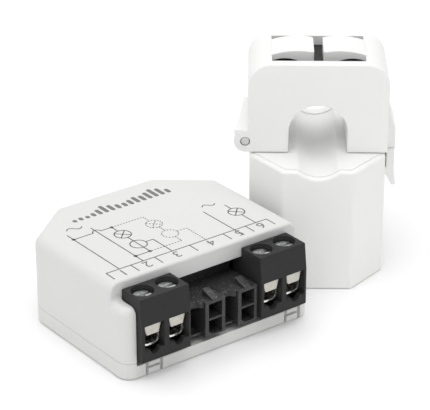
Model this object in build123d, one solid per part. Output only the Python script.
from build123d import *
from math import cos, hypot, radians, sin
import os

# A smart energy monitor: a small metering module for a wall box, and the split-core
# current clamp that it reads. Millimetres, +Z up. The origin is the middle of the
# module's base, and its terminals face -Y. The clamp stands behind its right side.

# Module case
case_width = 40.0
case_depth = 35.0
case_height = 17.0
case_wall = 1.2
roof_thickness = 1.4
corner_radius = 2.4
roof_edge_radius = 2.0
foot_edge_radius = 0.7
rear_width = 20.8
rear_chamfer_depth = 7.65
parting_height = 3.2
parting_bevel = 0.12
ear_width = 2.3
ear_drop = 3.5
ear_edge_radius = 1.3
ear_root_radius = 0.9
roof_front_radius = 0.5
edge_break = 0.12
roof_setback = 4.3
fascia_height = 3.3
hold_down_depth = 2.0
hold_down_reach = 2.4
hold_down_clearance = 0.1
hold_down_place = 6.0

# Base cover
floor_thickness = 1.0
front_wall_height = 2.6
lip_thickness = 0.8
lip_height = 1.3
lip_clearance = 0.1
catch_length = 5.0
catch_height = 0.5
catch_bite = 0.3
board_post_radius = 1.2
tongue_width = 3.6
tongue_groove_width = 0.6
tongue_groove_depth = 0.7
tongue_bar_drop = 0.7
tongue_bar_height = 0.5
tongue_nib_width = 1.2
tongue_nib_height = 0.5
tongue_inset_left = 4.1
tongue_inset_right = 2.4

# Circuit board
board_thickness = 1.2
board_clearance = 0.1
board_hole_clearance = 0.1

# Terminal blocks
ways = 2
way_pitch = 5.0
block_side_clearance = 0.1
block_height = 11.65
block_overhang = 1.65
block_top_overhang = 1.1
brow_drop = 4.85
block_back_clearance = 0.1
block_foot_depth = 8.25
sill_height = 2.1
sill_thickness = 1.0
sill_notch_radius = 0.9
window_width = 4.0
chamber_clearance = 0.2
chamber_floor = 0.8
screw_shoulder = 0.3
screw_setback = 1.75

# Terminal screws and cages
screw_head_radius = 1.8
screw_head_height = 1.35
screw_head_recess = 0.8
screw_head_clearance = 0.2
screw_radius = 1.2
screw_hole_clearance = 0.05
shoulder_hole_clearance = 0.15
screw_slot_width = 0.6
screw_slot_depth = 0.7
screw_tip_clearance = 0.1
cage_depth = 4.4
cage_wall = 0.35
cage_bend_radius = 1.1
cage_nut_height = 1.3
cage_bar_clearance = 0.2
cage_wire_room = 2.0

# Fixed contacts
contact_width = 2.4
contact_thickness = 0.6
contact_height = 4.7
contact_lip_height = 1.9
contact_lip_top_width = 3.4
contact_lip_thickness = 0.4
contact_lip_setback = 0.6
contact_tail_width = 1.0
contact_tail_drop = 1.2
contact_slot_clearance = 0.1

# Sockets for the clamp leads
socket_frame_share = 0.6143
socket_gap = 0.1
socket_end_gap = 0.7
socket_block_gap = 0.3
socket_height = 6.7
socket_wall = 0.75
socket_bar = 0.35
socket_roof = 0.5
socket_sill = 0.3
socket_floor = 0.5
socket_cavity_depth = 6.5
socket_cavity_chamfer = 0.7
socket_depth = 9.0
socket_setback = 0.9
wing_setback = 1.5
wing_thickness = 1.2
wing_slant = 0.9
channel_depth = 5.0
hood_thickness = 1.0
ramp_width = 1.4
ramp_height = 1.1
ramp_foot = 0.25
ramp_length = 2.9
pin_width = 0.64
pin_front_clearance = 4.0
pin_tail_drop = 1.2
pin_row_gap = 0.4
pin_slot_clearance = 0.05

# Parts on the board
relay_share = 0.185
deep_part_share = 0.515
relay_headroom = 1.6
relay_edge_radius = 0.4
capacitor_share = 0.1
capacitor_headroom = 1.2
capacitor_groove = 0.3
choke_radius = 3.0
choke_core_radius = 1.9
choke_height = 7.5
choke_flange = 1.0
varistor_share = 0.085
varistor_thickness = 3.0
varistor_leg_height = 0.9
leg_radius = 0.35
resistor_radius = 1.5
resistor_length = 7.0
resistor_cap_length = 1.2
resistor_cap_step = 0.15
power_chip_share = 0.125
power_chip_height = 1.6
metering_chip_share = 0.15
metering_chip_height = 1.0
chip_mark_radius = 0.4
chip_mark_depth = 0.15
wireless_board = 0.8
shield_margin = 0.7
shield_share = 0.667
shield_height = 2.0
part_gap = 0.6

# Rear button and light
switch_width = 5.0
switch_depth = 3.2
switch_height = 4.2
button_height = 2.3
button_radius = 0.9
button_clearance = 0.1
button_recess = 0.2
button_travel = 0.5
button_stem_radius = 0.6
button_place = 7.4
button_stem_length = 0.7
light_place = 7.9
light_radius = 0.75
light_clearance = 0.05
led_width = 2.4
led_depth = 1.8
led_height = 3.4

# Current clamp
clamp_parting = 23.65
parting_gap = 0.2
clamp_half_width = 12.3
clamp_side_depth = 17.2
clamp_bulge_width = 12.8
clamp_bulge_depth = 32.8
clamp_wall = 1.2
clamp_corner_radius = 1.0
clamp_rim_radius = 0.5
clamp_deck_inset = 1.0
clamp_deck_rise = 0.17
shoulder_radius = 1.4
saddle_step_depth = 0.25
saddle_step_front = -0.8
saddle_step_back = 13.4
clamp_yaw = -38.3
standing_gap = 2.0
clamp_shift = 2.1
bore_radius = 5.3
bore_height = 27.45
bore_wall = 1.1
foot_cap_thickness = 1.6
foot_cap_clearance = 0.1
foot_cap_post_width = 3.0

# Ferrite cores and coil
core_depth = 12.4
core_leg = 4.3
core_clearance = 0.1
core_gap = 0.1
yoke_height = 4.4
yoke_bottom = 7.5
bobbin_wall = 0.7
bobbin_clearance = 0.1
bobbin_flange = 4.2
coil_clearance = 0.2
coil_edge_radius = 1.0

# Jaw
jaw_overhang = 0.35
jaw_depth = 16.6
jaw_height = 16.9
jaw_top_radius = 4.2
jaw_edge_radius = 0.3
jaw_window_width = 16.8
jaw_window_wall = 2.0
jaw_roof = 1.7
finger_width = 7.8
finger_gap = 1.7
finger_thickness = 1.15
finger_root_rise = 0.2
finger_crown_rise = 0.95
finger_tip_rise = 0.65
finger_crown_share = 0.4
finger_pad_length = 1.6
finger_pad_clearance = 0.05
finger_arch_rise = 0.45
finger_corner_radius = 0.5

# Hinge
pin_offset = 0.83
pin_height = 2.1
pin_radius = 0.8
pin_running_clearance = 0.1
pin_press_clearance = 0.01
pin_end_recess = 0.15
pin_end_chamfer = 0.12
knuckle_radius = 2.0
knuckle_length = 3.9
middle_knuckle_radius = 1.3
middle_knuckle_length = 4.0
rear_knuckle_radius = 1.25
rear_knuckle_length = 1.6
knuckle_clearance = 0.15
knuckle_side_clearance = 0.2
hinge_cover_thickness = 0.5
hinge_cover_setback = 0.4
hinge_cover_reach = 1.84
hinge_cover_rear_reach = 0.62
bracket_drop = 1.9

# Latch
latch_width = 8.0
boss_reach = 1.6
boss_drop = 0.9
boss_height = 3.0
boss_shoulder_height = 5.0
boss_shoulder_reach = 0.85
boss_top_height = 9.9
latch_gap = 0.15
latch_thickness = 1.45
latch_length = 7.3
latch_tip_height = 2.0
latch_flare_height = 3.4
latch_flare = 0.35
hook_reach = 0.65
hook_height = 2.0
hook_drop = 4.6
hook_clearance = 0.2
pocket_depth = 0.9

# Lead inlet
inlet_height = 8.0
inlet_radius = 2.4
inlet_flange_radius = 3.2
inlet_flange = 0.8
inlet_bore_radius = 1.5
inlet_clearance = 0.05

# Overrun of every cut, and how near two places are to be the same
cut_over = 1.0
same_place = 0.1


def block(x0, x1, y0, y1, z0, z1):
    """Rectangular solid between two corners."""
    middle = Pos((x0 + x1) / 2, (y0 + y1) / 2, (z0 + z1) / 2)
    return middle * Box(x1 - x0, y1 - y0, z1 - z0)


def post(x, y, radius, z0, z1):
    """Upright round solid."""
    return Pos(x, y, (z0 + z1) / 2) * Cylinder(radius, z1 - z0)


def rod(x, z, radius, y0, y1):
    """Round solid lying along Y."""
    return Pos(x, (y0 + y1) / 2, z) * Rot(90, 0, 0) * Cylinder(radius, y1 - y0)


def plan_solid(points, z0, z1, radius=0):
    """Upright solid over an outline of x, y points, with its corners rounded."""
    face = make_face(Polyline(*[(x, y, z0) for x, y in points], close=True))
    if radius > 0:
        face = fillet(face.vertices(), radius)
    return extrude(face, z1 - z0, dir=(0, 0, 1))


def front_profile(points, y0, y1):
    """Solid with an outline of x, z points, along Y."""
    face = make_face(Polyline(*[(x, y0, z) for x, z in points], close=True))
    return extrude(face, y1 - y0, dir=(0, 1, 0))


def side_profile(points, x0, x1):
    """Solid with an outline of y, z points, along X."""
    face = make_face(Polyline(*[(x0, y, z) for y, z in points], close=True))
    return extrude(face, x1 - x0, dir=(1, 0, 0))


def inset_plan(points, inset):
    """Corners of a convex anticlockwise outline with every side moved in."""
    lines = []
    for k, (x0, y0) in enumerate(points):
        x1, y1 = points[(k + 1) % len(points)]
        length = hypot(x1 - x0, y1 - y0)
        nx, ny = (y1 - y0) / length, (x0 - x1) / length
        lines.append((nx, ny, nx * x0 + ny * y0 - inset))
    corners = []
    for k, (bx, by, bc) in enumerate(lines):
        ax, ay, ac = lines[k - 1]
        det = ax * by - ay * bx
        corners.append(((ac * by - bc * ay) / det, (ax * bc - bx * ac) / det))
    return corners


def same(a, b):
    """Whether two places agree."""
    return abs(a - b) < same_place


def top_edges(shape):
    """The highest edges of a shape."""
    return shape.edges().group_by(Axis.Z)[-1]


def bottom_edges(shape):
    """The lowest edges of a shape."""
    return shape.edges().group_by(Axis.Z)[0]


def save(name, shape):
    """Write one piece under its node's name."""
    export_step(shape, os.path.join("parts", name + ".step"))


# Places that follow from the case
front = -case_depth / 2
rear = case_depth / 2
side = case_width / 2
roof_front = front + roof_setback
ear_top = case_height - ear_drop
fascia_bottom = case_height - fascia_height
roof_underside = case_height - roof_thickness
opening_half = side - ear_width
case_plan = [
    (-side, front), (side, front), (side, rear - rear_chamfer_depth),
    (rear_width / 2, rear), (-rear_width / 2, rear), (-side, rear - rear_chamfer_depth),
]
board_bottom = front_wall_height
board_top = board_bottom + board_thickness
board_inset = ear_width + board_clearance
board_side = side - board_inset
board_front = front + board_inset
board_rear = rear - board_inset

# Places that follow from the terminal blocks
block_width = ways * way_pitch
block_x = opening_half - block_side_clearance - block_width / 2
block_top = board_top + block_height
block_front = front - block_overhang
brow = block_top - brow_drop
block_back = roof_front - block_back_clearance
block_foot_back = block_front + block_foot_depth
block_foot_top = fascia_bottom - block_back_clearance
screw_y = front + screw_setback
way_centres = [side_sign * block_x + (k - (ways - 1) / 2) * way_pitch
               for side_sign in (-1, 1) for k in range(ways)]
screw_top = block_top - screw_head_recess
screw_head_bottom = screw_top - screw_head_height
contact_bottom = board_top + contact_height
contact_top = contact_bottom + contact_thickness
nut_bottom = contact_top + cage_bar_clearance
nut_top = nut_bottom + cage_nut_height
cage_bottom = contact_bottom - cage_wire_room - cage_wall
cage_half = contact_width / 2 + cage_bar_clearance + cage_wall
cage_front = screw_y - cage_depth / 2
cage_back = screw_y + cage_depth / 2
chamber_top = screw_head_bottom - screw_shoulder
tail_back = block_foot_back - contact_slot_clearance
tail_y = tail_back - contact_thickness

# Places that follow from the sockets
bay_half = block_x - block_width / 2 - socket_block_gap
socket_pitch = bay_half - (socket_end_gap - socket_gap) / 2
socket_frame_width = socket_frame_share * socket_pitch
wing_width = socket_pitch - socket_frame_width - socket_gap
socket_front = front - socket_setback
socket_back = socket_front + socket_depth
socket_top = board_top + socket_height

# Sizes of the board's parts, as shares of the room that the case gives them
deep_part_depth = deep_part_share * (board_rear - socket_back - part_gap * 2)
shield_depth = shield_share * deep_part_depth
relay_width = relay_share * case_width
capacitor_radius = capacitor_share * case_width
varistor_radius = varistor_share * case_width
power_chip_size = power_chip_share * case_width
metering_chip_size = metering_chip_share * case_width


def upper_case():
    """Moulded shell: roof, walls, rear chamfers and the two front ears."""
    shell = plan_solid(case_plan, parting_height, case_height, corner_radius)
    shell = fillet(top_edges(shell), roof_edge_radius)
    shell -= block(-case_width, case_width, front - cut_over, roof_front,
                   ear_top, case_height + cut_over)
    step = shell.edges().filter_by(lambda e: same(e.center().Z, ear_top))
    shell = fillet(step.filter_by(lambda e: e.center().Y < roof_front - ear_root_radius), ear_edge_radius)
    brow_edges = shell.edges().filter_by(lambda e: same(e.center().Y, roof_front))
    shell = fillet(brow_edges.filter_by(lambda e: e.center().Z > ear_top + same_place), roof_front_radius)
    step = shell.edges().filter_by(lambda e: same(e.center().Z, ear_top))
    shell = fillet(step.filter_by(lambda e: same(e.center().Y, roof_front)), ear_root_radius)
    shell = chamfer(bottom_edges(shell), parting_bevel)
    hollow = plan_solid(inset_plan(case_plan, case_wall), 0, roof_underside, corner_radius - case_wall)
    hollow -= block(-case_width, case_width, front - cut_over, roof_front + case_wall, 0, case_height)
    shell -= hollow
    shell -= block(-opening_half, opening_half, front - cut_over, roof_front, 0, case_height)
    shell -= block(-opening_half, opening_half, front - cut_over, roof_front + case_wall + cut_over,
                   0, fascia_bottom)
    for sign in (-1, 1):
        shell += hold_down_rib(sign)
    shell -= rod(button_place, board_top + button_height, button_radius + button_clearance,
                 rear - case_wall - cut_over, rear + cut_over)
    shell -= rod(-light_place, board_top + button_height, light_radius + light_clearance,
                 rear - case_wall - cut_over, rear + cut_over)
    return shell - lip_catches(catch_bite + lip_clearance, lip_clearance)


def hold_down_rib(sign):
    """Rib on a side wall that keeps the board down, stepped round the base's lip."""
    wall = sign * (side - case_wall)
    past_lip = wall - sign * (lip_clearance * 2 + lip_thickness)
    tip = wall - sign * hold_down_reach
    y0 = hold_down_place - hold_down_depth / 2
    y1 = hold_down_place + hold_down_depth / 2
    upper = block(*sorted((wall, tip)), y0, y1, parting_height + lip_height + lip_clearance, roof_underside)
    lower = block(*sorted((past_lip, tip)), y0, y1, board_top + hold_down_clearance, roof_underside)
    return upper + lower


def lip_catches(bite, growth):
    """Two snap ridges on the base's lip, or the recesses for them."""
    z0 = parting_height + lip_height / 2 - catch_height / 2
    lip_side = side - case_wall - lip_clearance
    ridges = [block(*sorted((sign * lip_side, sign * (lip_side + bite))), -catch_length / 2 - growth,
                    catch_length / 2 + growth, z0 - growth, z0 + catch_height + growth)
              for sign in (-1, 1)]
    return ridges[0] + ridges[1]


def base_cover():
    """Moulded tray with a low front wall, a snap lip and two snap tongues."""
    tray = plan_solid(case_plan, 0, parting_height, corner_radius)
    tray = fillet(bottom_edges(tray), foot_edge_radius)
    tray = chamfer(top_edges(tray), parting_bevel)
    lip_plan = inset_plan(case_plan, case_wall + lip_clearance)
    lip = plan_solid(lip_plan, floor_thickness, parting_height + lip_height, corner_radius - case_wall)
    lip -= block(-case_width, case_width, front - cut_over, roof_front + case_wall,
                 parting_height, case_height)
    tray += lip
    inner = inset_plan(case_plan, case_wall + lip_clearance + lip_thickness)
    tray -= plan_solid(inner, floor_thickness, case_height)
    tray -= block(-opening_half, opening_half, front - cut_over,
                  front + case_wall + lip_thickness + cut_over, front_wall_height, case_height)
    for x in (board_post_radius - board_side, board_side - board_post_radius):
        for y in (board_front + board_post_radius, rear - rear_chamfer_depth - board_post_radius):
            tray += post(x, y, board_post_radius, floor_thickness, board_bottom)
    for x in (-side + tongue_inset_left, side - tongue_inset_right):
        tray = cut_tongue(tray, x if x < 0 else x - tongue_width)
    return tray + lip_catches(catch_bite, 0)


def cut_tongue(tray, x0):
    """One snap tongue: grooves down both sides and across, and a nib on its top."""
    x1 = x0 + tongue_width
    depth = front + tongue_groove_depth
    for left in (x0, x1 - tongue_groove_width):
        tray -= block(left, left + tongue_groove_width, front - cut_over, depth,
                      -cut_over, front_wall_height + cut_over)
    bar_top = front_wall_height - tongue_bar_drop
    tray -= block(x0, x1, front - cut_over, depth, bar_top - tongue_bar_height, bar_top)
    middle = (x0 + x1) / 2
    nib_back = front + tongue_groove_depth + case_wall / 2
    tray += block(middle - tongue_nib_width / 2, middle + tongue_nib_width / 2, front + parting_bevel,
                  nib_back, front_wall_height - tongue_nib_height, front_wall_height + tongue_nib_height)
    return tray


def main_circuit_board():
    """Glass-epoxy board with a hole for every contact tail and pin tail."""
    board = plan_solid(inset_plan(case_plan, board_inset), board_bottom, board_top)
    half = contact_tail_width / 2 + board_hole_clearance
    for x in way_centres:
        board -= block(x - half, x + half, tail_y - board_hole_clearance, tail_back + board_hole_clearance,
                       0, case_height)
    half = pin_width / 2 + board_hole_clearance
    for x in socket_centres():
        for row in range(2):
            y = pin_tail_y(row)
            board -= block(x - half, x + half, y - half, y + half, 0, case_height)
    return board


def terminal_block(sign):
    """Two-way terminal housing with its cage chambers, windows and screw holes."""
    x0 = sign * block_x - block_width / 2
    body = side_profile([
        (block_front, board_top), (block_foot_back, board_top), (block_foot_back, block_foot_top),
        (block_back, block_foot_top), (block_back, block_top),
        (front - block_top_overhang, block_top), (block_front, brow),
    ], x0, x0 + block_width)
    body = fillet(body.edges(), edge_break)
    chamber_half = cage_half + chamber_clearance
    chamber_back = cage_back + chamber_clearance
    sill = board_top + sill_height
    for x in way_centres:
        if x * sign < 0:
            continue
        body -= block(x - chamber_half, x + chamber_half, block_front + sill_thickness, chamber_back,
                      board_top + chamber_floor, chamber_top)
        body -= block(x - window_width / 2, x + window_width / 2, block_front - cut_over,
                      block_front + sill_thickness, sill, brow)
        body -= rod(x, sill, sill_notch_radius, block_front - cut_over, block_front + sill_thickness)
        body -= post(x, screw_y, screw_head_radius + screw_head_clearance, screw_head_bottom,
                     block_top + cut_over)
        body -= post(x, screw_y, screw_radius + shoulder_hole_clearance, chamber_top - cut_over,
                     screw_head_bottom)
        half = contact_width / 2 + contact_slot_clearance
        body -= block(x - half, x + half, chamber_back - cut_over, block_foot_back + cut_over,
                      contact_bottom - contact_slot_clearance, contact_top + contact_slot_clearance)
        half = contact_tail_width / 2 + contact_slot_clearance
        body -= block(x - half, x + half, tail_y - contact_slot_clearance, block_foot_back + cut_over,
                      0, contact_top)
    return body


def fixed_contact(x):
    """Contact bar with its bent-up front lip and its solder tail."""
    half = contact_width / 2
    lip_front = block_front + contact_lip_setback
    bar = block(x - half, x + half, lip_front, tail_back, contact_bottom, contact_top)
    top_half = contact_lip_top_width / 2
    lip = front_profile([
        (x - half, contact_bottom), (x + half, contact_bottom),
        (x + top_half, contact_bottom + contact_lip_height),
        (x - top_half, contact_bottom + contact_lip_height),
    ], lip_front, lip_front + contact_lip_thickness)
    half = contact_tail_width / 2
    tail = block(x - half, x + half, tail_y, tail_back, board_bottom - contact_tail_drop, contact_top)
    return bar + lip + tail


def terminal_contacts(sign):
    """The two fixed contacts of one terminal block."""
    return Compound([fixed_contact(x).solid() for x in way_centres if x * sign > 0])


def cage_clamp(x):
    """Bent steel cage: a round-cornered stirrup below, and its threaded nut above."""
    outer = block(x - cage_half, x + cage_half, cage_front, cage_back, cage_bottom, nut_top)
    outer = fillet(bottom_edges(outer).filter_by(Axis.Y), cage_bend_radius)
    inner = block(x - cage_half + cage_wall, x + cage_half - cage_wall, cage_front - cut_over,
                  cage_back + cut_over, cage_bottom + cage_wall, nut_bottom)
    inner = fillet(bottom_edges(inner).filter_by(Axis.Y), cage_bend_radius - cage_wall)
    hole = post(x, screw_y, screw_radius + screw_hole_clearance, nut_bottom - cage_wall, nut_top + cut_over)
    return outer - inner - hole


def terminal_screw(x):
    """Captive screw with a slotted and crossed pan head."""
    head = post(x, screw_y, screw_head_radius, screw_head_bottom, screw_top)
    head = fillet(top_edges(head), screw_slot_width / 2)
    shank = post(x, screw_y, screw_radius, contact_top + screw_tip_clearance, screw_head_bottom)
    screw = head + shank
    half = screw_slot_width / 2
    slot_bottom = screw_top - screw_slot_depth
    screw -= block(x - screw_head_radius, x + screw_head_radius, screw_y - half, screw_y + half,
                   slot_bottom, screw_top + cut_over)
    cross = screw_head_radius / 2
    screw -= block(x - half, x + half, screw_y - cross, screw_y + cross, slot_bottom, screw_top + cut_over)
    return screw


def socket_centres():
    """Middle of each socket's two-pole frame, left and right."""
    right = bay_half - socket_frame_width / 2
    return [right - socket_pitch, right]


def socket_rows():
    """Lowest and highest z of the two cavities."""
    low = board_top + socket_sill
    high = socket_top - socket_roof
    height = (high - low - socket_bar) / 2
    return [(low, low + height), (high - height, high)]


def ct_socket(number):
    """Socket: a two-pole frame, a latch ramp, a wing over a channel and a rear hood."""
    middle = socket_centres()[number]
    x0 = middle - socket_frame_width / 2
    x1 = middle + socket_frame_width / 2
    body = block(x0, x1, socket_front, socket_back, board_top, socket_top)
    body = fillet(body.edges().group_by(Axis.Y)[0], edge_break)
    for z0, z1 in socket_rows():
        cavity = block(x0 + socket_wall, x1 - socket_wall, socket_front - cut_over,
                       socket_front + socket_cavity_depth, z0, z1)
        body -= cavity
    z0 = socket_rows()[0][0]
    body += front_profile([
        (x0 + socket_wall, z0), (x0 + socket_wall + socket_cavity_chamfer, z0),
        (x0 + socket_wall, z0 + socket_cavity_chamfer),
    ], socket_front, socket_front + socket_cavity_depth)
    wing_left = x0 - wing_width
    wing_front = socket_front + wing_setback
    body += plan_solid([
        (wing_left, wing_front), (x0 - wing_slant, wing_front), (x0, wing_front - wing_slant),
        (x0, socket_back), (wing_left, socket_back),
    ], socket_top - wing_thickness, socket_top)
    body += block(wing_left, x0, wing_front + channel_depth, socket_back, board_top, socket_top)
    body += block(wing_left, x0, wing_front, socket_back, board_top, board_top + socket_floor)
    body += block(wing_left, x1, socket_back - hood_thickness, socket_back, board_top, block_foot_top)
    body += side_profile([
        (socket_front, socket_top), (socket_front + ramp_length, socket_top),
        (socket_front + ramp_length, socket_top + ramp_height),
        (socket_front, socket_top + ramp_foot),
    ], middle - ramp_width / 2, middle + ramp_width / 2)
    for row in range(2):
        body -= pin_solid(middle, row, pin_slot_clearance)
    return body


def pin_tail_y(row):
    """Middle of a pin's solder tail, for the lower and the upper pin."""
    first = socket_front + socket_cavity_depth + pin_width
    return first + row * (pin_width + pin_row_gap)


def pin_solid(x, row, growth):
    """One bent pin, grown a little where it is used as its own slot."""
    z0, z1 = socket_rows()[row]
    z = (z0 + z1) / 2
    half = pin_width / 2 + growth
    tail = pin_tail_y(row)
    arm = block(x - half, x + half, socket_front + pin_front_clearance, tail + half, z - half, z + half)
    bottom = board_bottom - pin_tail_drop if growth == 0 else board_bottom
    leg = block(x - half, x + half, tail - half, tail + half, bottom, z + half)
    return arm + leg


def ct_pins(number):
    """The two pins of one socket."""
    x = socket_centres()[number]
    return Compound([pin_solid(x, row, 0).solid() for row in range(2)])


def control_relay():
    """Small sealed relay at the left wall."""
    x0 = -board_side + part_gap
    y0 = socket_back + part_gap
    body = block(x0, x0 + relay_width, y0, y0 + deep_part_depth, board_top, roof_underside - relay_headroom)
    return fillet(body.edges().filter_by(Axis.Z) + top_edges(body), relay_edge_radius)


capacitor_x = board_side - capacitor_radius - part_gap
capacitor_y = socket_back + part_gap + capacitor_radius
choke_x = board_side - hold_down_reach - choke_radius
choke_y = capacitor_y + capacitor_radius + part_gap + choke_radius
chip_x = -board_side + part_gap * 2 + relay_width
wireless_left = -light_place + led_width / 2 + part_gap
wireless_right = button_place - switch_width / 2 - part_gap
wireless_back = board_rear - part_gap
wireless_front = wireless_back - deep_part_depth


def bulk_capacitor():
    """Standing electrolytic can with a crimp groove."""
    top = roof_underside - capacitor_headroom
    can = post(capacitor_x, capacitor_y, capacitor_radius, board_top, top)
    can = fillet(top_edges(can), capacitor_groove)
    groove_z = board_top + capacitor_groove * 4
    ring = post(capacitor_x, capacitor_y, capacitor_radius + cut_over, groove_z, groove_z + capacitor_groove)
    ring -= post(capacitor_x, capacitor_y, capacitor_radius - capacitor_groove, groove_z,
                 groove_z + capacitor_groove)
    return can - ring


def input_choke():
    """Drum core choke: two flanges on a waist."""
    top = board_top + choke_height
    return (post(choke_x, choke_y, choke_radius, board_top, board_top + choke_flange)
            + post(choke_x, choke_y, choke_core_radius, board_top, top)
            + post(choke_x, choke_y, choke_radius, top - choke_flange, top))


def surge_varistor():
    """Disc varistor standing on two legs."""
    x = chip_x + varistor_radius
    y = socket_back + part_gap + varistor_thickness / 2
    z = board_top + varistor_leg_height + varistor_radius
    disc = rod(x, z, varistor_radius, y - varistor_thickness / 2, y + varistor_thickness / 2)
    disc = fillet(disc.edges(), leg_radius)
    for dx in (-varistor_radius / 2, varistor_radius / 2):
        disc += post(x + dx, y, leg_radius, board_top, z)
    return disc


def fuse_resistor():
    """Axial fusible resistor on two short legs."""
    x = chip_x + resistor_radius
    y0 = socket_back + part_gap * 2 + varistor_thickness
    z = board_top + varistor_leg_height + resistor_radius
    inner = resistor_cap_length
    body = rod(x, z, resistor_radius - resistor_cap_step, y0, y0 + resistor_length)
    for y in (y0, y0 + resistor_length - inner):
        body += rod(x, z, resistor_radius, y, y + inner)
        body += post(x, y + inner / 2, leg_radius, board_top, z)
    return body


def chip(x, y, size, height):
    """Square moulded chip with a dot at its first corner."""
    body = block(x - size / 2, x + size / 2, y - size / 2, y + size / 2, board_top, board_top + height)
    dot = size / 2 - chip_mark_radius * 2
    return body - post(x - dot, y - dot, chip_mark_radius, board_top + height - chip_mark_depth,
                       board_top + height + cut_over)


def power_chip():
    """Converter chip, between the resistor and the capacitor."""
    x = capacitor_x - capacitor_radius - part_gap - power_chip_size / 2
    return chip(x, capacitor_y, power_chip_size, power_chip_height)


def metering_chip():
    """Metering chip, in front of the wireless module."""
    y = wireless_front - part_gap - metering_chip_size / 2
    x = chip_x + resistor_radius * 2 + part_gap + metering_chip_size / 2
    return chip(x, y, metering_chip_size, metering_chip_height)


def wireless_module():
    """Wireless daughter board with its shield can."""
    base = board_top + wireless_board
    board = block(wireless_left, wireless_right, wireless_front, wireless_back, board_top, base)
    can = block(wireless_left + shield_margin, wireless_right - shield_margin,
                wireless_front + shield_margin, wireless_front + shield_margin + shield_depth,
                base, base + shield_height)
    return board + fillet(top_edges(can), chip_mark_radius)


def reset_switch():
    """Side-pressed switch on the board, with the button's guide hole."""
    y1 = board_rear - button_stem_length
    body = block(button_place - switch_width / 2, button_place + switch_width / 2, y1 - switch_depth, y1,
                 board_top, board_top + switch_height)
    return body - rod(button_place, board_top + button_height, button_stem_radius + button_clearance,
                      y1 - switch_depth / 2 - button_travel, y1 + cut_over)


def reset_button():
    """Small plunger whose end lies just inside the rear wall."""
    y1 = board_rear - button_stem_length
    z = board_top + button_height
    head_front = y1 + button_travel + button_clearance
    return (rod(button_place, z, button_radius, head_front, rear - button_recess)
            + rod(button_place, z, button_stem_radius, y1 - switch_depth / 2 + button_clearance, head_front))


def status_led():
    """Right-angle indicator lamp on the board."""
    y1 = board_rear - part_gap
    return block(-light_place - led_width / 2, -light_place + led_width / 2, y1 - led_depth, y1,
                 board_top, board_top + led_height)


def light_pipe():
    """Clear rod that carries the lamp's light through the rear wall."""
    z = board_top + button_height
    return rod(-light_place, z, light_radius, board_rear - part_gap, rear)


# Places that follow from the clamp
clamp_side = clamp_half_width
bulge_half = clamp_bulge_width / 2
bulge_front = clamp_bulge_depth / 2
clamp_plan = [
    (-bulge_half, -bulge_front), (bulge_half, -bulge_front), (clamp_side, -clamp_side_depth / 2),
    (clamp_side, clamp_side_depth / 2), (bulge_half, bulge_front), (-bulge_half, bulge_front),
    (-clamp_side, clamp_side_depth / 2), (-clamp_side, -clamp_side_depth / 2),
]
jaw_side = clamp_side + jaw_overhang
ledge = clamp_parting - parting_gap / 2
jaw_bottom = clamp_parting + parting_gap / 2
jaw_top = jaw_bottom + jaw_height
jaw_front = -jaw_depth / 2
jaw_back = jaw_depth / 2
core_side = bore_radius + bore_wall + core_clearance + core_leg
core_inner = core_side - core_leg
yoke_top = jaw_top - jaw_roof
pin_x = -clamp_side - pin_offset
pin_z = clamp_parting + pin_height
knuckle_inner = jaw_front + knuckle_length
middle_knuckle_front = knuckle_inner + knuckle_side_clearance
middle_knuckle_back = middle_knuckle_front + middle_knuckle_length
rear_knuckle_front = middle_knuckle_back + knuckle_side_clearance
rear_knuckle_back = rear_knuckle_front + rear_knuckle_length
latch_face = jaw_side + latch_gap
boss_bottom = jaw_bottom - boss_drop
latch_top = boss_bottom - latch_gap
latch_bottom = latch_top - latch_length
hook_top = ledge - hook_drop
reach_left = max(-(x * cos(radians(clamp_yaw)) - y * sin(radians(clamp_yaw))) for x, y in clamp_plan)
clamp_x = case_width / 2 + standing_gap + reach_left
clamp_place = Location((clamp_x, clamp_shift, 0), (0, 0, clamp_yaw))


def saddle(radius, y0, y1):
    """The bore's space: a half round with straight sides down to the parting plane."""
    return (rod(0, bore_height, radius, y0, y1)
            + block(-radius, radius, y0, y1, clamp_parting, bore_height))


def grooved_block(points, z0, z1, radius):
    """Upright block with the bore's trough along it, its shoulders rounded."""
    shape = plan_solid(points, z0, z1, clamp_corner_radius)
    shape -= rod(0, bore_height, radius, -clamp_bulge_depth, clamp_bulge_depth)
    shoulders = top_edges(shape).filter_by(Axis.Y).filter_by(lambda e: abs(e.center().X) < radius)
    return fillet(shoulders, shoulder_radius)


def rim_edges(shape):
    """Top outline of a grooved block, down through the trough's two ends."""
    high = shape.edges().filter_by(lambda e: e.center().Z > bore_height - bore_radius - clamp_wall)
    along = high.filter_by(Axis.Y).filter_by(lambda e: abs(e.center().X) < bulge_half)
    return high - along


def saddle_step():
    """Shallow step in the trough and beside it, where the core lies below."""
    return (rod(0, bore_height, bore_radius + saddle_step_depth, saddle_step_front, saddle_step_back)
            + block(-bore_radius, bore_radius, saddle_step_front, saddle_step_back,
                    ledge - saddle_step_depth, ledge + cut_over))


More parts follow.
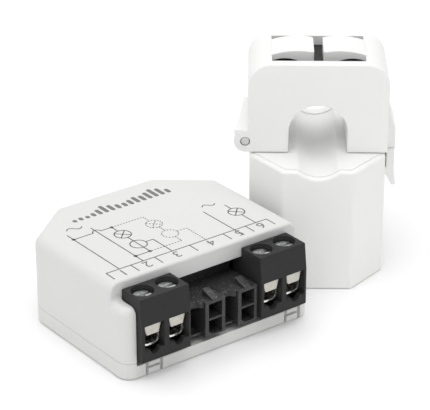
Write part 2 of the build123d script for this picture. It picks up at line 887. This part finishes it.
def clamp_body():
    """Lower housing: coil bulge front and back, deck, saddle and middle knuckle."""
    body = grooved_block(clamp_plan, 0, ledge - clamp_deck_rise, bore_radius + clamp_deck_rise)
    body = fillet(rim_edges(body), clamp_rim_radius)
    body = fillet(bottom_edges(body), clamp_rim_radius)
    body += grooved_block(inset_plan(clamp_plan, clamp_deck_inset), inlet_height, ledge, bore_radius)
    room = plan_solid(inset_plan(clamp_plan, clamp_wall), 0, bore_height - bore_radius - bore_wall)
    pocket = block(-core_side - core_clearance, core_side + core_clearance,
                   -core_depth / 2 - core_clearance, core_depth / 2 + core_clearance, 0, ledge + cut_over)
    pocket -= block(-core_inner + core_clearance, core_inner - core_clearance, -core_depth, core_depth,
                    bore_height - bore_radius - bore_wall, clamp_parting)
    body = body - room - pocket - saddle_step()
    body -= rod(0, inlet_height, inlet_radius + inlet_clearance, bulge_front - clamp_wall - cut_over,
                bulge_front + cut_over)
    body -= block(clamp_side - pocket_depth, clamp_side + cut_over, -latch_width / 2 - hook_clearance,
                  latch_width / 2 + hook_clearance, latch_bottom + latch_tip_height - hook_clearance,
                  hook_top + hook_clearance)
    y0 = middle_knuckle_front
    y1 = middle_knuckle_back
    knuckle = rod(pin_x, pin_z, middle_knuckle_radius, y0, y1)
    knuckle += front_profile([
        (-clamp_side + clamp_wall / 2, ledge - bracket_drop), (-clamp_side, ledge - bracket_drop),
        (pin_x - middle_knuckle_radius, pin_z), (pin_x, pin_z),
        (-jaw_side - knuckle_side_clearance, ledge), (-clamp_side + clamp_wall / 2, ledge),
    ], y0, y1)
    knuckle -= rod(pin_x, pin_z, pin_radius + pin_press_clearance, -jaw_depth, jaw_depth)
    return body + knuckle


def clamp_base_cap():
    """Floor plate of the lower housing, with two posts under the core."""
    plan = inset_plan(clamp_plan, clamp_wall + foot_cap_clearance)
    cap = plan_solid(plan, 0, foot_cap_thickness)
    for sign in (-1, 1):
        x = sign * (core_side - core_leg / 2)
        half = foot_cap_post_width / 2
        cap += block(x - half, x + half, -core_depth / 2, core_depth / 2, foot_cap_thickness, yoke_bottom)
    return cap


def u_core(low, high, opening_low, opening_high):
    """Ferrite U core: a block with the space between its legs taken out."""
    y = core_depth / 2
    core = block(-core_side, core_side, -y, y, low, high)
    return core - block(-core_inner, core_inner, -core_depth, core_depth, opening_low, opening_high)


def lower_core():
    """Lower U core, whose yoke carries the coil."""
    leg_top = clamp_parting - core_gap / 2
    return u_core(yoke_bottom, leg_top, yoke_bottom + yoke_height, leg_top + cut_over)


def upper_core():
    """Upper U core, pressed down by the jaw's fingers."""
    leg_bottom = clamp_parting + core_gap / 2
    return u_core(leg_bottom, yoke_top, leg_bottom - cut_over, yoke_top - yoke_height)


bobbin_half = core_inner - bobbin_clearance
bobbin_y = core_depth / 2 + bobbin_clearance + bobbin_wall
bobbin_low = yoke_bottom - bobbin_clearance - bobbin_wall
bobbin_high = yoke_bottom + yoke_height + bobbin_clearance + bobbin_wall


def coil_bobbin():
    """Moulded bobbin round the lower yoke."""
    tube = block(-bobbin_half, bobbin_half, -bobbin_y, bobbin_y, bobbin_low, bobbin_high)
    for x0 in (-bobbin_half, bobbin_half - bobbin_wall):
        tube += block(x0, x0 + bobbin_wall, -bobbin_y - bobbin_flange, bobbin_y + bobbin_flange,
                      bobbin_low - bobbin_flange, bobbin_high + bobbin_flange)
    y = core_depth / 2 + bobbin_clearance
    return tube - block(-core_side, core_side, -y, y, yoke_bottom - bobbin_clearance,
                        yoke_bottom + yoke_height + bobbin_clearance)


def secondary_winding():
    """Enamelled copper winding on the bobbin, as one sealed body."""
    half = bobbin_half - bobbin_wall
    depth = bobbin_flange - coil_clearance
    coil = block(-half, half, -bobbin_y - depth, bobbin_y + depth, bobbin_low - depth, bobbin_high + depth)
    coil = fillet(coil.edges().filter_by(Axis.X), coil_edge_radius)
    return coil - block(-core_side, core_side, -bobbin_y, bobbin_y, bobbin_low, bobbin_high)


def lead_bushing():
    """Rubber inlet bushing in the rear wall, bare of its lead."""
    body = rod(0, inlet_height, inlet_radius, bulge_front - clamp_wall, bulge_front)
    collar = rod(0, inlet_height, inlet_flange_radius, bulge_front, bulge_front + inlet_flange)
    collar = fillet(collar.edges().group_by(Axis.Y)[-1], inlet_flange / 2)
    return body + collar - rod(0, inlet_height, inlet_bore_radius, 0, clamp_bulge_depth)


def spring_finger(sign):
    """One spring finger: it arches in from the window's side and presses on the core."""
    root = jaw_window_width / 2
    tip = finger_gap / 2
    crown = tip + (root - tip) * finger_crown_share
    pad_bottom = yoke_top + finger_pad_clearance
    pad_end = tip + finger_pad_length
    root_top = jaw_top + finger_root_rise
    tip_top = jaw_top + finger_tip_rise
    root_bottom = root_top - finger_thickness
    arch = root_bottom + finger_arch_rise
    seat = root + jaw_edge_radius
    upper = ThreePointArc((root, 0, root_top), (crown, 0, jaw_top + finger_crown_rise), (tip, 0, tip_top))
    pad = Polyline((tip, 0, tip_top), (tip, 0, pad_bottom), (pad_end, 0, pad_bottom))
    lower = ThreePointArc((pad_end, 0, pad_bottom), ((pad_end + root) / 2, 0, arch), (root, 0, root_bottom))
    end = Polyline((root, 0, root_bottom), (seat, 0, root_bottom), (seat, 0, jaw_top),
                   (root, 0, root_top))
    face = make_face([upper, pad, lower, end])
    finger = Pos(0, -finger_width / 2, 0) * extrude(face, finger_width, dir=(0, 1, 0))
    finger = fillet(finger.edges().filter_by(Axis.Z).group_by(Axis.X)[0], finger_corner_radius)
    return finger if sign > 0 else mirror(finger, Plane.YZ)


def jaw_shell():
    """Upper jaw: arched opening, core pocket, top window, fingers, knuckles and boss."""
    shell = block(-jaw_side, jaw_side, jaw_front, jaw_back, jaw_bottom, jaw_top)
    shell = fillet(top_edges(shell).filter_by(Axis.Y), jaw_top_radius)
    shell -= saddle(bore_radius, -jaw_depth, jaw_depth)
    rims = shell.edges().filter_by(lambda e: e.center().Z > jaw_bottom + jaw_edge_radius)
    shell = fillet(rims.group_by(Axis.Y)[0] + rims.group_by(Axis.Y)[-1], jaw_edge_radius)
    y = core_depth / 2 + core_clearance
    pocket = block(-core_side - core_clearance, core_side + core_clearance, -y, y,
                   0, yoke_top + core_clearance)
    pocket -= block(-core_inner + core_clearance, core_inner - core_clearance, -y, y, 0,
                    yoke_top - yoke_height - core_clearance)
    window_y = jaw_back - jaw_window_wall
    window = block(-jaw_window_width / 2, jaw_window_width / 2, -window_y, window_y,
                   yoke_top, jaw_top + cut_over)
    shell = shell - pocket - window
    shell = shell + spring_finger(1) + spring_finger(-1)
    shell = shell + jaw_knuckles() + latch_boss()
    shell -= rod(pin_x, pin_z, middle_knuckle_radius + knuckle_clearance, knuckle_inner, rear_knuckle_front)
    return shell - rod(pin_x, pin_z, pin_radius + pin_running_clearance, -jaw_depth, rear_knuckle_back)


def jaw_knuckles():
    """Front and rear knuckles, and the cover that tapers back over them."""
    inner = -jaw_side + clamp_wall / 2
    front_one = rod(pin_x, pin_z, knuckle_radius, jaw_front, knuckle_inner)
    front_one += block(pin_x, inner, jaw_front, knuckle_inner, jaw_bottom, pin_z + knuckle_radius)
    cover_top = pin_z + knuckle_radius
    rear_one = rod(pin_x, pin_z, rear_knuckle_radius, rear_knuckle_front, rear_knuckle_back)
    rear_one += block(pin_x, inner, rear_knuckle_front, rear_knuckle_back, pin_z, cover_top)
    y0 = jaw_front + hinge_cover_setback
    y1 = jaw_back - hinge_cover_setback
    cover = plan_solid([
        (pin_x - hinge_cover_reach, y0), (inner, y0), (inner, y1), (-jaw_side - hinge_cover_rear_reach, y1),
    ], cover_top - hinge_cover_thickness, cover_top)
    return front_one + rear_one + cover


def latch_boss():
    """Shouldered boss on the jaw's free side that carries the latch arm."""
    inner = jaw_side - clamp_wall / 2
    return front_profile([
        (jaw_side, boss_bottom), (jaw_side + boss_reach, boss_bottom),
        (jaw_side + boss_reach, jaw_bottom + boss_height),
        (jaw_side + boss_shoulder_reach, jaw_bottom + boss_shoulder_height),
        (jaw_side, jaw_bottom + boss_top_height), (inner, jaw_bottom + boss_top_height),
        (inner, jaw_bottom), (jaw_side, jaw_bottom),
    ], -latch_width / 2, latch_width / 2)


def hinge_pin():
    """Steel pin, a press fit in the housing's knuckle."""
    pin = rod(pin_x, pin_z, pin_radius, jaw_front + pin_end_recess, rear_knuckle_back)
    return chamfer(pin.edges(), pin_end_chamfer)


def latch_arm():
    """Snap arm: it hangs from the jaw's boss and hooks into the housing's side."""
    outer = latch_face + latch_thickness
    nose = clamp_side - hook_reach
    arm = front_profile([
        (latch_face, latch_top), (outer, latch_top), (outer, latch_bottom + latch_flare_height),
        (outer + latch_flare, latch_bottom), (outer + latch_flare - latch_thickness / 2, latch_bottom),
        (latch_face, latch_bottom + latch_tip_height), (nose, hook_top - hook_height / 2),
        (nose, hook_top), (latch_face, hook_top),
    ], -latch_width / 2, latch_width / 2)
    return fillet(arm.edges().group_by(Axis.Y)[0] + arm.edges().group_by(Axis.Y)[-1], edge_break)


os.makedirs("parts", exist_ok=True)

save("upper_case", upper_case())
save("base_cover", base_cover())
save("main_circuit_board", main_circuit_board())
for name, sign in (("left", -1), ("right", 1)):
    save("terminal_block_" + name, terminal_block(sign))
    save("terminal_contacts_" + name, terminal_contacts(sign))
for number, x in enumerate(way_centres, start=1):
    save("cage_clamp_" + str(number), cage_clamp(x))
    save("terminal_screw_" + str(number), terminal_screw(x))
for number, name in enumerate(("left", "right")):
    save("ct_socket_" + name, ct_socket(number))
    save("ct_pins_" + name, ct_pins(number))
save("control_relay", control_relay())
save("bulk_capacitor", bulk_capacitor())
save("input_choke", input_choke())
save("surge_varistor", surge_varistor())
save("fuse_resistor", fuse_resistor())
save("power_chip", power_chip())
save("metering_chip", metering_chip())
save("wireless_module", wireless_module())
save("reset_switch", reset_switch())
save("reset_button", reset_button())
save("status_led", status_led())
save("light_pipe", light_pipe())

save("clamp_body", clamp_place * clamp_body())
save("clamp_base_cap", clamp_place * clamp_base_cap())
save("lower_core", clamp_place * lower_core())
save("coil_bobbin", clamp_place * coil_bobbin())
save("secondary_winding", clamp_place * secondary_winding())
save("lead_bushing", clamp_place * lead_bushing())
save("jaw_shell", clamp_place * jaw_shell())
save("upper_core", clamp_place * upper_core())
save("hinge_pin", clamp_place * hinge_pin())
save("latch_arm", clamp_place * latch_arm())
